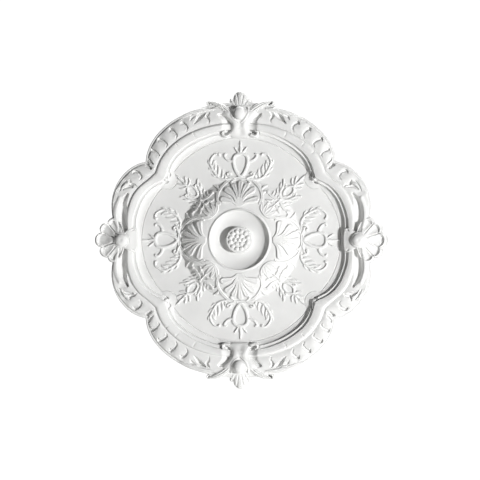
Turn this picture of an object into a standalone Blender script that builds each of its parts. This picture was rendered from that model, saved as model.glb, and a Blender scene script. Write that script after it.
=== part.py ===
"""A lobed ceiling rose, cast in one piece of rigid foam.

The rose is modelled lying on its back in the XY plane, with its face up, and is turned at the end so
that the back is the plane y = 0 and the face looks along -Y. The origin is the centre of the back.
Seen from the face, +X is right and +Y is the top, the end that carries a crest.
"""

import math

import bmesh
import bpy
from mathutils import Matrix, Vector

MM = 0.001

# Heights above the flat back
FIELD_HEIGHT = 8.0 * MM
STEP_HEIGHT = 9.4 * MM
COVE_HEIGHT = 11.5 * MM
FACE_HEIGHT = 18.0 * MM
MOULDING_HEIGHT = 20.5 * MM
GROOVE_HEIGHT = 14.5 * MM
BAND_HEIGHT = 20.0 * MM
LIP_STEP = 2.5 * MM
SINK = 3.5 * MM
LOBE_SINK = 7.0 * MM

# Outline of the plate, one quarter: each lobe is an ellipse as centre x, centre y, half width, half height
END_LOBE = (0.0, 100.0 * MM, 122.5 * MM, 80.0 * MM)
SIDE_LOBE = (111.0 * MM, 44.0 * MM, 57.5 * MM, 58.5 * MM)
LIP_WIDTH = 3.6 * MM
EDGE_MARGIN = 0.6 * MM

# Groove between the outer band and the inner moulding, then the moulding's steep face, then the field's step
END_GROOVE = (0.0, 20.8 * MM, 131.5 * MM, 131.5 * MM)
SIDE_GROOVE = (72.0 * MM, 25.0 * MM, 77.5 * MM, 77.5 * MM)
END_FACE = (0.0, 31.5 * MM, 110.5 * MM, 110.5 * MM)
SIDE_FACE = (41.0 * MM, 0.0, 98.8 * MM, 98.8 * MM)
FACE_SLOPE = 3.5 * MM
END_STEP = (0.0, 23.0 * MM, 110.3 * MM, 110.3 * MM)
SIDE_STEP = (32.0 * MM, 0.0, 99.0 * MM, 99.0 * MM)
CORNER_ARC = 13.0 * MM
KNOB_RADIUS = 3.2 * MM

# Scalloped leaves on the outer band
LEAF_PITCH = 17.0 * MM
LEAF_RISE = 3.0 * MM

# Fan shells on the two sides
SHELL_REACH = 192.5 * MM
SHELL_HINGE = 155.5 * MM
SHELL_LOBES = ((0.0, 1.0), (33.0, 0.95), (62.0, 0.86))
SHELL_LOBE_WIDTH = 12.5 * MM
SHELL_HEIGHT = 23.0 * MM
BALL_RADIUS = 8.6 * MM
BALL_HEIGHT = 30.5 * MM
BRIDGE_LENGTH = 24.0 * MM
BRIDGE_WIDTH = 35.0 * MM
BRIDGE_GAP = 3.0 * MM
LOBE_FOOT_LIFT = 5.0 * MM
LOBE_CROWN_DROP = 3.0 * MM

# Crests on the two ends
CREST_REACH = 195.0 * MM
CREST_WIDTH = 27.0 * MM
CREST_HEIGHT = 22.0 * MM
EGG_CENTRE = 164.5 * MM
EGG_WIDTH = 17.0 * MM
EGG_LENGTH = 20.0 * MM
EGG_HEIGHT = 31.0 * MM
NECK_WIDTH = 21.0 * MM
NECK_END = 134.0 * MM
SCROLL_RADIUS = 3.6 * MM
SCROLL_HEIGHT = 20.5 * MM
CREST_ROOT_DROP = 2.0 * MM
CREST_STEPS_DOWN = (8.0 * MM, 21.0 * MM)

# Scroll beside the neck: each point's distance out from the neck, and on from the egg or the neck's end
SCROLL_BY_EGG = ((19.0 * MM, 8.0 * MM), (6.0 * MM, 3.0 * MM), (1.0 * MM, -10.0 * MM))
SCROLL_BY_END = ((3.0 * MM, 8.0 * MM), (11.0 * MM, 3.5 * MM))

# Leaf tips past an end lobe's edge: foot and tip, each as distance across and beyond the edge, then width
HIGH_LEAF = ((12.0 * MM, -4.0 * MM), (44.0 * MM, 7.0 * MM), 8.0 * MM)
LOW_LEAF = ((36.0 * MM, -4.0 * MM), (84.0 * MM, 3.0 * MM), 9.0 * MM)
LEAF_TIP_LIFT = 3.0 * MM
LEAF_TIP_RISE = 6.0 * MM

# Centre: dome, dish and button
DOME_RADIUS = 78.0 * MM
DOME_HEIGHT = 21.0 * MM
RIM_RADIUS = 39.8 * MM
RIM_HEIGHT = 24.5 * MM
DISH_HEIGHT = 16.0 * MM
BUTTON_RADIUS = 17.8 * MM
BUTTON_HEIGHT = 25.0 * MM
BEAD_RADIUS = 2.1 * MM
BEAD_RINGS = ((0.0, 1), (6.0 * MM, 6), (12.0 * MM, 12))

# Ornament on the dome and the field
PALMETTE_FOOT = 43.5 * MM
PALMETTE_REACH = 76.5 * MM
PALMETTE_LOBES = ((0.0, 1.0), (24.0, 0.93), (50.0, 0.78), (78.0, 0.62))
PALMETTE_LOBE_WIDTH = 7.5 * MM
BRACKET_HALF_WIDTH = 29.5 * MM
BRACKET_REACH = 81.5 * MM
STRAP_RADIUS = 1.5 * MM
KNOT_REACH = 75.0 * MM
OVAL_LENGTH = 30.0 * MM
OVAL_WIDTH = 20.0 * MM
STEM_REACH = 131.0 * MM
VINE_RADIUS = 1.1 * MM
PALMETTE_RISE = 2.2 * MM

# Vines: each point's distance across, and on from the bracket's reach or from the oval's end
BRACKET_DROPS = (32.0 * MM, 22.0 * MM, 8.0 * MM, 1.5 * MM)
HORN = ((1.0 * MM, 3.0 * MM), (9.0 * MM, -1.0 * MM), (17.0 * MM, -4.0 * MM), (20.0 * MM, 1.0 * MM))
SPRAY = ((13.0 * MM, 1.0 * MM), (24.0 * MM, 4.0 * MM), (34.0 * MM, 13.0 * MM), (38.0 * MM, 24.0 * MM),
         (29.0 * MM, 31.0 * MM))
FORK_REACHES = (10.0 * MM, 20.0 * MM, 28.0 * MM)
FINIAL_REACH = 43.0 * MM

# Even steps of the plate's outline over a quarter, as first degree, last degree and number of steps
OUTLINE_SPANS = ((0, 14, 18), (14, 58, 15), (58, 82, 14), (82, 90, 9))
CORNER_SEARCH = (math.radians(25), math.radians(55))
SIDE_STATIONS = 9
END_STATIONS = 12
TURNED_STEPS = 36
SLIVER = 0.02 * MM
KEPT_SHARE = 0.45
SHARP_EDGE = math.radians(35)

SIDES = (0.0, math.pi)
ENDS = (math.pi / 2, 3 * math.pi / 2)
CARDINALS = SIDES + ENDS
DIAGONALS = tuple(math.pi / 4 + quarter * math.pi / 2 for quarter in range(4))


def clear_scene():
    for obj in list(bpy.data.objects):
        bpy.data.objects.remove(obj)


def collection(name, hidden=False):
    found = bpy.data.collections.new(name)
    bpy.context.scene.collection.children.link(found)
    found.hide_render = hidden
    return found


def add_object(name, mesh, group):
    obj = bpy.data.objects.new(name, mesh)
    group.objects.link(obj)
    return obj


def add_form(name, mesh, forms):
    """A form that the Boolean joins to the plate: hidden, and drawn as wire."""
    obj = add_object(name, mesh, forms)
    obj.hide_render = True
    obj.display_type = "WIRE"
    return obj


def as_mesh(curve_object, name):
    """The evaluated curve as a mesh with its caps welded; the curve is removed."""
    graph = bpy.context.evaluated_depsgraph_get()
    mesh = bpy.data.meshes.new_from_object(curve_object.evaluated_get(graph))
    mesh.name = name
    curve = curve_object.data
    bpy.data.objects.remove(curve_object)
    bpy.data.curves.remove(curve)
    bm = bmesh.new()
    bm.from_mesh(mesh)
    bmesh.ops.remove_doubles(bm, verts=bm.verts, dist=0.001 * MM)
    bmesh.ops.recalc_face_normals(bm, faces=bm.faces)
    bm.to_mesh(mesh)
    bm.free()
    return mesh


def place(point, direction, side=1):
    """A point of a motif as (across, outward), turned so that outward is the given direction."""
    across, outward = point
    x = outward * math.cos(direction) - side * across * math.sin(direction)
    y = outward * math.sin(direction) + side * across * math.cos(direction)
    return Vector((x, y))


def polar(radius, degrees):
    """A motif's point at this radius from the rose's centre, this far round from the outward axis."""
    return (radius * math.sin(math.radians(degrees)), radius * math.cos(math.radians(degrees)))


def reach(lobe, angle):
    """How far a ray from the centre goes before it leaves an ellipse, or 0 where it misses."""
    centre_x, centre_y, half_width, half_height = lobe[:4]
    turn = lobe[4] if len(lobe) > 4 else 0.0
    along = Matrix.Rotation(-turn, 2) @ Vector((math.cos(angle), math.sin(angle)))
    centre = Matrix.Rotation(-turn, 2) @ Vector((centre_x, centre_y))
    along = Vector((along.x / half_width, along.y / half_height))
    centre = Vector((centre.x / half_width, centre.y / half_height))
    middle = along.dot(centre)
    inside = middle ** 2 - along.dot(along) * (centre.dot(centre) - 1)
    return max((middle + math.sqrt(inside)) / along.dot(along), 0.0) if inside > 0 else 0.0


def corner_angle(side, end):
    """Where the side lobe's line meets the end lobe's line, found by halving."""
    low, high = CORNER_SEARCH
    for _ in range(40):
        middle = (low + high) / 2
        if reach(side, middle) > reach(end, middle):
            low = middle
        else:
            high = middle
    return low


def quarter_line(side, end, grow=0.0):
    """Points of one line of the frame from the +X axis to the +Y axis, with its corner on a station."""
    side = (side[0], side[1], side[2] + grow, side[3] + grow)
    end = (end[0], end[1], end[2] + grow, end[3] + grow)
    corner = corner_angle(side, end)
    points = []
    for station in range(SIDE_STATIONS):
        angle = corner * station / SIDE_STATIONS
        points.append(reach(side, angle) * Vector((math.cos(angle), math.sin(angle))))
    for station in range(END_STATIONS + 1):
        angle = corner + (math.pi / 2 - corner) * station / END_STATIONS
        points.append(reach(end, angle) * Vector((math.cos(angle), math.sin(angle))))
    return points


def all_round(quarter):
    """A closed ring from the points of one quarter, mirrored across both axes."""
    mirrored_x = [Vector((-p[0], *p[1:])) for p in reversed(quarter)]
    half = quarter[:-1] + mirrored_x[:-1]
    return half + [Vector((-p[0], -p[1], *p[2:])) for p in half]


def rounded_corner(points, knob, radius):
    """The line's points that come within a radius of the knob, moved towards the centre onto its arc."""
    moved = []
    for point in points:
        along = point.normalized()
        middle = along.dot(knob)
        inside = radius ** 2 - knob.length_squared + middle ** 2
        near = middle - math.sqrt(inside) if inside > 0 else point.length
        moved.append(along * min(near, point.length))
    return moved


def frame_mesh():
    """The lobed frame: a loft through its lines, each with its own corner, closed below inside the plate."""
    outline = quarter_line(SIDE_LOBE, END_LOBE, -LIP_WIDTH)
    groove = quarter_line(SIDE_GROOVE, END_GROOVE)
    face = quarter_line(SIDE_FACE, END_FACE)
    foot = quarter_line(SIDE_FACE, END_FACE, -FACE_SLOPE)
    step = rounded_corner(quarter_line(SIDE_STEP, END_STEP), face[SIDE_STATIONS], CORNER_ARC)
    full_width = (outline[-1] - groove[-1]).length

    def between(inner, outer, share):
        return [a.lerp(b, share) for a, b in zip(inner, outer)]

    def level(points, height):
        return [Vector((p.x, p.y, height)) for p in points]

    def band(share, rise):
        """A line on the band, lower where the band narrows towards a shell."""
        points = []
        for a, b in zip(groove, outline):
            width = min((b - a).length / full_width, 1.0) if b.length > a.length else 0.0
            point = a.lerp(b, share) if width else a + a.normalized() * share * MM
            points.append(Vector((point.x, point.y, GROOVE_HEIGHT + rise * math.sqrt(width))))
        return points

    rise = BAND_HEIGHT - GROOVE_HEIGHT
    lip_drop = FIELD_HEIGHT + LIP_STEP - GROOVE_HEIGHT
    rings = [
        level(step, FIELD_HEIGHT - SINK),
        level(step, STEP_HEIGHT),
        level(foot, COVE_HEIGHT),
        level(face, FACE_HEIGHT),
        level(between(face, groove, 0.55), MOULDING_HEIGHT),
        level(groove, GROOVE_HEIGHT),
        band(0.35, rise),
        band(0.75, rise * 0.65),
        band(1.0, lip_drop),
        level(band(1.0, 0.0), FIELD_HEIGHT - SINK),
    ]
    rings = [all_round(ring) for ring in rings]
    bm = bmesh.new()
    rows = [[bm.verts.new(point) for point in ring] for ring in rings]
    for row, following in zip(rows, rows[1:] + rows[:1]):
        for i in range(len(row)):
            j = (i + 1) % len(row)
            bm.faces.new((row[i], following[i], following[j], row[j]))
    bmesh.ops.recalc_face_normals(bm, faces=bm.faces)
    mesh = bpy.data.meshes.new("frame")
    bm.to_mesh(mesh)
    bm.free()
    return mesh


def shell_lobe(degrees, share):
    """Foot and tip of one lobe of a fan shell, as motif points."""
    length = (SHELL_REACH - EDGE_MARGIN - SHELL_HINGE) * share
    lean = math.radians(degrees)
    return (0.0, SHELL_HINGE), (length * math.sin(lean), SHELL_HINGE + length * math.cos(lean))


def crest_lobes():
    """The crest's lobes as foot, tip and width: one in the middle and two on each side."""
    root = EGG_CENTRE
    middle = CREST_WIDTH * 0.66
    top = CREST_REACH - EDGE_MARGIN
    return (
        ((0.0, root), (0.0, top), middle),
        ((0.0, root), (CREST_WIDTH * 0.45, top - CREST_STEPS_DOWN[0]), middle * 0.8),
        ((0.0, root - CREST_ROOT_DROP), (CREST_WIDTH * 0.56, top - CREST_STEPS_DOWN[1]), middle * 0.7),
    )


def end_edge(across, beyond):
    """A motif point just beyond the end lobe's edge, at this distance across."""
    share = across / END_LOBE[2]
    return (across, END_LOBE[1] + END_LOBE[3] * math.sqrt(1 - share ** 2) + beyond)


def leaf_tips():
    """The two acanthus blades whose tips stand past the edge of an end lobe, as foot, tip and width."""
    return tuple((end_edge(*foot), end_edge(*tip), width) for foot, tip, width in (HIGH_LEAF, LOW_LEAF))


def ellipse_of(foot, tip, width, direction, side, margin):
    """The plan of a petal as a turned ellipse, a little larger all round."""
    a = place(foot, direction, side)
    b = place(tip, direction, side)
    centre = (a + b) / 2
    turn = math.atan2(b.y - a.y, b.x - a.x)
    return (centre.x, centre.y, (b - a).length / 2 + margin, width / 2 + margin, turn)


def silhouette(angle, shapes):
    return max(reach(shape, angle) for shape in shapes)


def plate_mesh():
    """The plate: the whole outline with its shells, crests and leaf tips, as a filled curve extruded."""
    shapes = [END_LOBE, SIDE_LOBE]
    for degrees, share in SHELL_LOBES:
        foot, tip = shell_lobe(degrees, share)
        shapes.append(ellipse_of(foot, tip, SHELL_LOBE_WIDTH, SIDES[0], 1, EDGE_MARGIN))
        end = tuple(t + (f - t) * SHELL_LOBE_WIDTH / (SHELL_REACH - SHELL_HINGE) for f, t in zip(foot, tip))
        shapes.append(ellipse_of(end, tip, SHELL_LOBE_WIDTH, SIDES[0], 1, EDGE_MARGIN / 2))
    for foot, tip, width in crest_lobes() + leaf_tips():
        shapes.append(ellipse_of(foot, tip, width, ENDS[0], -1, EDGE_MARGIN))
    angles = []
    for start, stop, count in OUTLINE_SPANS:
        angles += [math.radians(start + (stop - start) * i / count) for i in range(count)]
    angles.append(math.pi / 2)
    angles.append(corner_angle(SIDE_LOBE, END_LOBE))
    quarter = [silhouette(a, shapes) * Vector((math.cos(a), math.sin(a))) for a in sorted(angles)]
    ring = all_round(quarter)
    curve = bpy.data.curves.new("plate", "CURVE")
    curve.dimensions = "2D"
    curve.fill_mode = "BOTH"
    curve.extrude = FIELD_HEIGHT / 2
    spline = curve.splines.new("POLY")
    spline.points.add(len(ring) - 1)
    for point, place_2d in zip(spline.points, ring):
        point.co = (place_2d.x, place_2d.y, 0, 1)
    spline.use_cyclic_u = True
    obj = bpy.data.objects.new("plate", curve)
    bpy.context.scene.collection.objects.link(obj)
    mesh = as_mesh(obj, "plate")
    mesh.transform(Matrix.Translation((0, 0, FIELD_HEIGHT / 2)))
    return mesh


def centre_profile():
    """The turned centre from the top of the button out to the foot of the dome."""
    dish_width = RIM_RADIUS - BUTTON_RADIUS
    dish_depth = RIM_HEIGHT - DISH_HEIGHT
    dome_width = DOME_RADIUS - RIM_RADIUS
    dome_rise = DOME_HEIGHT - FIELD_HEIGHT
    return (
        (0.0, BUTTON_HEIGHT),
        (BUTTON_RADIUS - 0.8 * MM, BUTTON_HEIGHT - 1 * MM),
        (BUTTON_RADIUS + 0.2 * MM, DISH_HEIGHT),
        (BUTTON_RADIUS + dish_width * 0.45, DISH_HEIGHT + dish_depth * 0.22),
        (BUTTON_RADIUS + dish_width * 0.8, DISH_HEIGHT + dish_depth * 0.62),
        (RIM_RADIUS, RIM_HEIGHT),
        (RIM_RADIUS + 1.2 * MM, RIM_HEIGHT - 0.4 * MM),
        (RIM_RADIUS + 4 * MM, DOME_HEIGHT + 1.2 * MM),
        (RIM_RADIUS + dome_width * 0.4, FIELD_HEIGHT + dome_rise * 0.78),
        (RIM_RADIUS + dome_width * 0.75, FIELD_HEIGHT + dome_rise * 0.3),
        (DOME_RADIUS, FIELD_HEIGHT + 0.3 * MM),
    )


def ground(radius):
    """Height of the dome or of the flat field at this distance from the centre."""
    profile = centre_profile()
    for (inner, high), (outer, low) in zip(profile, profile[1:]):
        if inner <= radius < outer:
            return high + (low - high) * (radius - inner) / (outer - inner)
    return FIELD_HEIGHT


def add_centre(forms):
    profile = centre_profile() + (
        (DOME_RADIUS, FIELD_HEIGHT - SINK),
        (0.0, FIELD_HEIGHT - SINK),
    )
    mesh = bpy.data.meshes.new("centre")
    edges = [(i, i + 1) for i in range(len(profile) - 1)]
    mesh.from_pydata([(r, 0, z) for r, z in profile], edges, [])
    obj = add_form("centre", mesh, forms)
    screw = obj.modifiers.new("turn", "SCREW")
    screw.steps = screw.render_steps = TURNED_STEPS
    screw.use_merge_vertices = True
    screw.merge_threshold = 0.00001


def add_petal(name, foot, tip, width, rise, forms, taper=0.25, segments=6, rings=4, sink=SINK):
    """A lobe between two points in space: a sphere drawn out, wider towards its tip and shallow below."""
    foot = Vector(foot)
    tip = Vector(tip)
    length = (tip - foot).length
    bm = bmesh.new()
    bmesh.ops.create_uvsphere(bm, u_segments=segments, v_segments=rings, radius=1)
    bmesh.ops.rotate(bm, verts=bm.verts, matrix=Matrix.Rotation(math.pi / 2, 3, "Y"))
    for vert in bm.verts:
        along, across, up = vert.co
        across *= width / 2 * (1 + taper * along)
        up *= rise if up > 0 else sink
        vert.co = (along * length / 2, across, up)
    mesh = bpy.data.meshes.new(name)
    bm.to_mesh(mesh)
    bm.free()
    obj = add_form(name, mesh, forms)
    x_axis = (tip - foot).normalized()
    y_axis = Vector((0, 0, 1)).cross(x_axis).normalized()
    z_axis = x_axis.cross(y_axis)
    axes = Matrix((x_axis, y_axis, z_axis)).transposed().to_4x4()
    obj.matrix_basis = Matrix.Translation((foot + tip) / 2) @ axes


def on_ground(point, lift=0.0):
    return Vector((point.x, point.y, ground(point.length) + lift))


def add_stroke(name, points, radii, forms, closed=False):
    """A raised line: a tube of varying thickness along points in space, half sunk in what is under it."""
    curve = bpy.data.curves.new(name, "CURVE")
    curve.dimensions = "3D"
    curve.bevel_depth = 1.0
    curve.bevel_resolution = 0
    curve.use_fill_caps = not closed
    spline = curve.splines.new("POLY")
    spline.points.add(len(points) - 1)
    for spot, place_3d, radius in zip(spline.points, points, radii):
        spot.co = (*place_3d, 1)
        spot.radius = radius
    spline.use_cyclic_u = closed
    obj = bpy.data.objects.new(name, curve)
    bpy.context.scene.collection.objects.link(obj)
    add_form(name, as_mesh(obj, name), forms)


def smooth(points, count):
    """A rounded line through motif points, at even steps of a Catmull-Rom curve."""
    ends = [points[0]] + list(points) + [points[-1]]
    line = []
    spans = len(points) - 1
    for i in range(count + 1):
        place_on = min(i * spans / count, spans - 1e-9)
        k = int(place_on)
        t = place_on - k
        p0, p1, p2, p3 = (Vector(p) for p in ends[k:k + 4])
        line.append(0.5 * (2 * p1 + (p2 - p0) * t + (2 * p0 - 5 * p1 + 4 * p2 - p3) * t ** 2
                           + (3 * p1 - p0 - 3 * p2 + p3) * t ** 3))
    return line


def add_vine(name, motif, directions, forms, radius=VINE_RADIUS, steps=6, both=True, thin=0.5):
    """A curling stroke on the ground in each direction, on both sides of its axis, thinner at its ends."""
    for direction in directions:
        for side in (1, -1) if both else (1,):
            line = smooth(motif, steps)
            points = [on_ground(place(point, direction, side), VINE_RADIUS * 0.15) for point in line]
            radii = [radius * (thin + (1 - thin) * math.sin(math.pi * i / steps)) for i in range(steps + 1)]
            add_stroke(name, points, radii, forms)


def add_frame_leaves(forms):
    """Scalloped leaves along the band, each leaning across it, and a knob in each inner corner."""
    face = quarter_line(SIDE_FACE, END_FACE)
    groove = quarter_line(SIDE_GROOVE, END_GROOVE)
    lip = quarter_line(SIDE_LOBE, END_LOBE, -LIP_WIDTH)
    crown = [(a + b) / 2 for a, b in zip(groove, lip)]
    widths = [(b - a).length for a, b in zip(groove, lip)]
    spans = ((3, SIDE_STATIONS - 1), (SIDE_STATIONS + 1, len(crown) - 4))
    for first, last in spans:
        travelled = LEAF_PITCH / 2
        for i in range(first, last):
            step = (crown[i + 1] - crown[i]).length
            while travelled < step:
                spot = crown[i].lerp(crown[i + 1], travelled / step)
                outward = (lip[i] - groove[i]).normalized() * widths[i] * 0.42
                lean = Matrix.Rotation(math.radians(25 if first < SIDE_STATIONS else -25), 2)
                add_leaf_copies(spot - lean @ outward, spot + lean @ outward, forms)
                travelled += LEAF_PITCH
            travelled -= step
    knob = face[SIDE_STATIONS]
    for flip_x, flip_y in ((1, 1), (-1, 1), (-1, -1), (1, -1)):
        centre = Vector((knob.x * flip_x, knob.y * flip_y, FACE_HEIGHT))
        reach_out = Vector((KNOB_RADIUS, 0, 0))
        add_petal("knob", centre - reach_out, centre + reach_out, KNOB_RADIUS * 2, KNOB_RADIUS, forms,
                  taper=0)


def add_leaf_copies(inner, outer, forms):
    height = BAND_HEIGHT - 1.2 * MM
    for flip_x, flip_y in ((1, 1), (-1, 1), (-1, -1), (1, -1)):
        foot = Vector((inner.x * flip_x, inner.y * flip_y, height))
        tip = Vector((outer.x * flip_x, outer.y * flip_y, height - 2 * MM))
        add_petal("band_leaf", foot, tip, LEAF_PITCH * 0.86, LEAF_RISE, forms, taper=0.1)


def add_shells(forms):
    """A fan of lobes on each side, the ball that they spring from and the bridge inward from it."""
    for direction in SIDES:
        for side in (1, -1):
            for degrees, share in SHELL_LOBES:
                if degrees == 0 and side < 0:
                    continue
                foot, tip = shell_lobe(degrees, share)
                add_petal("shell_lobe", (*place(foot, direction, side), FIELD_HEIGHT + LOBE_FOOT_LIFT),
                          (*place(tip, direction, side), FIELD_HEIGHT), SHELL_LOBE_WIDTH,
                          SHELL_HEIGHT - FIELD_HEIGHT - LOBE_CROWN_DROP, forms,
                          taper=0.45, segments=8, rings=6, sink=LOBE_SINK)
        ball = place((0.0, SHELL_HINGE), direction)
        centre = Vector((ball.x, ball.y, BALL_HEIGHT - BALL_RADIUS))
        reach_out = Vector((BALL_RADIUS, 0, 0))
        add_petal("ball", centre - reach_out, centre + reach_out, BALL_RADIUS * 2, BALL_RADIUS, forms,
                  taper=0, segments=10, rings=6, sink=BALL_RADIUS)
        middle = place((0.0, SHELL_HINGE - BRIDGE_LENGTH / 2 - BRIDGE_GAP), direction)
        add_block("bridge", middle, direction, BRIDGE_LENGTH, BRIDGE_WIDTH, MOULDING_HEIGHT + 0.6 * MM, forms)


def add_block(name, middle, direction, length, width, top, forms):
    """A raised pad, narrower at its top, from a cone cut short and stretched in plan."""
    bm = bmesh.new()
    depth = top - FIELD_HEIGHT + SINK * 0.8
    bmesh.ops.create_cone(bm, cap_ends=True, segments=16, radius1=0.5, radius2=0.42, depth=1)
    bmesh.ops.scale(bm, verts=bm.verts, vec=(length, width, depth))
    mesh = bpy.data.meshes.new(name)
    bm.to_mesh(mesh)
    bm.free()
    obj = add_form(name, mesh, forms)
    obj.location = (middle.x, middle.y, top - depth / 2)
    obj.rotation_euler.z = direction


def add_crests(forms):
    """The crest on each end: fan lobes, egg, neck, a pair of scrolls back to back and the leaf tips."""
    for direction in ENDS:
        for side in (1, -1):
            for number, (foot, tip, width) in enumerate(crest_lobes()):
                if number == 0 and side < 0:
                    continue
                add_petal("crest_lobe", (*place(foot, direction, side), FIELD_HEIGHT + LOBE_FOOT_LIFT),
                          (*place(tip, direction, side), FIELD_HEIGHT), width,
                          CREST_HEIGHT - FIELD_HEIGHT - LOBE_CROWN_DROP, forms,
                          taper=0.4, segments=8, rings=6, sink=LOBE_SINK)
            for foot, tip, width in leaf_tips():
                add_petal("leaf_tip", (*place(foot, direction, side), FIELD_HEIGHT + LEAF_TIP_LIFT),
                          (*place(tip, direction, side), FIELD_HEIGHT), width, LEAF_TIP_RISE, forms,
                          taper=-0.2)
            waist = NECK_WIDTH / 2
            scroll = [(waist + out, EGG_CENTRE + on) for out, on in SCROLL_BY_EGG]
            scroll += [(waist + out, NECK_END + on) for out, on in SCROLL_BY_END]
            line = smooth(scroll, 9)
            points = [(*place(point, direction, side), SCROLL_HEIGHT - SCROLL_RADIUS * 0.5) for point in line]
            radii = [SCROLL_RADIUS * (0.6 + 0.4 * math.sin(math.pi * i / 9)) for i in range(10)]
            add_stroke("scroll", points, radii, forms)
            volute = place(scroll[-1], direction, side)
            centre = Vector((volute.x, volute.y, SCROLL_HEIGHT - SCROLL_RADIUS))
            reach_out = Vector((SCROLL_RADIUS, 0, 0))
            add_petal("volute", centre - reach_out, centre + reach_out, SCROLL_RADIUS * 2, SCROLL_RADIUS,
                      forms, taper=0)
        egg = [place((0.0, EGG_CENTRE + end * EGG_LENGTH / 2), direction) for end in (-1, 1)]
        base = EGG_HEIGHT - EGG_WIDTH / 2
        add_petal("egg", (*egg[0], base), (*egg[1], base), EGG_WIDTH, EGG_WIDTH / 2, forms,
                  taper=0.1, segments=10, rings=6, sink=EGG_WIDTH / 2)
        neck_length = EGG_CENTRE + EGG_LENGTH / 2 - NECK_END
        middle = place((0.0, NECK_END + neck_length / 2), direction)
        add_block("neck", middle, direction, neck_length, NECK_WIDTH + 4 * MM, SCROLL_HEIGHT, forms)


def add_beads(forms):
    for radius, count in BEAD_RINGS:
        for number in range(count):
            centre = place((0.0, radius), 2 * math.pi * number / count)
            spot = Vector((centre.x, centre.y, BUTTON_HEIGHT - 0.5 * MM))
            reach_out = Vector((BEAD_RADIUS, 0, 0))
            add_petal("bead", spot - reach_out, spot + reach_out, BEAD_RADIUS * 2, BEAD_RADIUS, forms,
                      taper=0, segments=5, sink=BEAD_RADIUS * 0.5)


def add_palmettes(forms):
    """On the dome, in each of the four main directions: a palmette inside a bracket."""
    length = PALMETTE_REACH - PALMETTE_FOOT
    for direction in CARDINALS:
        for side in (1, -1):
            for degrees, share in PALMETTE_LOBES:
                if degrees == 0 and side < 0:
                    continue
                lean = math.radians(degrees)
                tip = (length * share * math.sin(lean), PALMETTE_FOOT + length * share * math.cos(lean))
                start = (tip[0] * 0.2, PALMETTE_FOOT + (tip[1] - PALMETTE_FOOT) * 0.2)
                add_petal("palmette_lobe", on_ground(place(start, direction, side)),
                          on_ground(place(tip, direction, side)), PALMETTE_LOBE_WIDTH, PALMETTE_RISE, forms,
                          taper=0.35)
    half = BRACKET_HALF_WIDTH
    shares = (0.72, 1.0, 0.8, 0.4)
    bracket = [(half * share, BRACKET_REACH - drop) for share, drop in zip(shares, BRACKET_DROPS)]
    bracket.append((0.0, BRACKET_REACH))
    add_vine("bracket", bracket, CARDINALS, forms, radius=STRAP_RADIUS, thin=0.85)


def add_arabesques(forms):
    """Thin scrollwork past the dome: an oval and its sprays in the main directions, forks between them."""
    for direction in CARDINALS:
        centre = BRACKET_REACH + OVAL_LENGTH / 2
        turns = [2 * math.pi * i / 12 for i in range(12)]
        ring = [(math.sin(t) * OVAL_WIDTH / 2, centre + math.cos(t) * OVAL_LENGTH / 2) for t in turns]
        points = [on_ground(place(point, direction), VINE_RADIUS * 0.15) for point in ring]
        add_stroke("oval", points, [VINE_RADIUS] * len(points), forms, closed=True)
    oval_end = BRACKET_REACH + OVAL_LENGTH
    stem = ((0.0, oval_end - 1 * MM), (0.0, STEM_REACH))
    add_vine("stem", stem, CARDINALS, forms, radius=VINE_RADIUS * 1.3, steps=3, both=False)
    horn = [(across, oval_end + on) for across, on in HORN]
    add_vine("horn", horn, CARDINALS, forms, steps=5)
    spray = [(across, BRACKET_REACH + on) for across, on in SPRAY]
    add_vine("spray", spray, CARDINALS, forms, steps=7, radius=VINE_RADIUS * 1.2)
    strap = (polar(KNOT_REACH, 0), polar(BRACKET_REACH * 0.86, 13), polar(BRACKET_REACH * 0.8, 24))
    add_vine("strap", strap, DIAGONALS, forms, radius=STRAP_RADIUS, steps=4, thin=0.8)
    fork = [polar(KNOT_REACH, 0)]
    fork += [polar(KNOT_REACH + on, degrees) for on, degrees in zip(FORK_REACHES, (7, 12, 7))]
    add_vine("fork", fork, DIAGONALS, forms, steps=6)
    for direction in DIAGONALS:
        knot = on_ground(place(polar(KNOT_REACH, 0), direction))
        reach_out = Vector((STRAP_RADIUS * 2, 0, 0))
        add_petal("knot", knot - reach_out, knot + reach_out, STRAP_RADIUS * 4, STRAP_RADIUS * 1.6, forms,
                  taper=0)
    finial = (polar(KNOT_REACH, 0), polar(KNOT_REACH + FINIAL_REACH, 0))
    add_vine("finial", finial, DIAGONALS, forms, radius=VINE_RADIUS * 1.2, steps=3, both=False)


def bake(obj):
    """Replaces the object's mesh by what its modifiers make of it."""
    graph = bpy.context.evaluated_depsgraph_get()
    mesh = bpy.data.meshes.new_from_object(obj.evaluated_get(graph))
    mesh.name = obj.name
    obj.modifiers.clear()
    obj.data = mesh
    return mesh


def put_in_order(mesh):
    """Numbers corners by their places and faces by their corners, because the Boolean's own order varies."""
    places = [vert.co[:] for vert in mesh.vertices]
    order = sorted(range(len(places)), key=places.__getitem__)
    rank = {old: new for new, old in enumerate(order)}
    faces = []
    for polygon in mesh.polygons:
        corners = [rank[i] for i in polygon.vertices]
        first = corners.index(min(corners))
        faces.append(corners[first:] + corners[:first])
    mesh.clear_geometry()
    mesh.from_pydata([places[i] for i in order], [], sorted(faces))


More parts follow.
